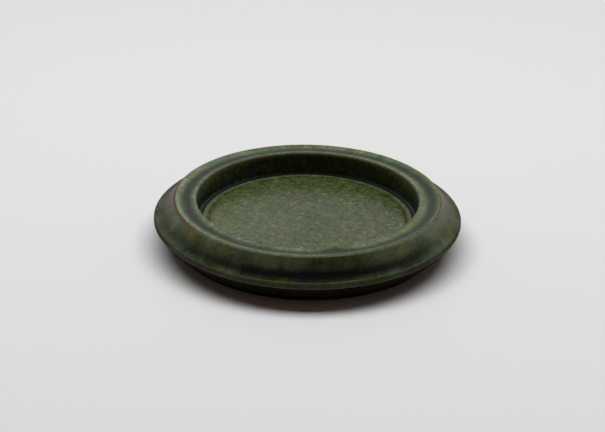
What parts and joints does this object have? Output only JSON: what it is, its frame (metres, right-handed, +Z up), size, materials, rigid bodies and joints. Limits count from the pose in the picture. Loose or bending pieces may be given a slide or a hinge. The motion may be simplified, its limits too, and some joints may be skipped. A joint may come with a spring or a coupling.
{
  "type": "inkwell",
  "caption": "Shallow round stoneware ink dish with a wide ring rim, a flat recessed well and a green glaze that breaks to bare clay at its edges.",
  "frame": {"origin": "middle of the foot, on the surface that the dish stands on", "axes": "+Z up along the dish's turning axis; X and Y lie in the plane of the foot"},
  "size_m": [0.12, 0.12, 0.0185],
  "materials": {
    "bare_clay": "matte",
    "well_glaze": "satin",
    "rim_glaze": "satin",
    "shoulder_glaze": "satin",
    "lip_glaze": "satin"
  },
  "bodies": {
    "root": {"stoneware_body": "bare_clay", "well_glaze": "well_glaze", "rim_glaze": "rim_glaze", "shoulder_glaze": "shoulder_glaze", "lip_glaze": "lip_glaze"}
  },
  "joints": []
}
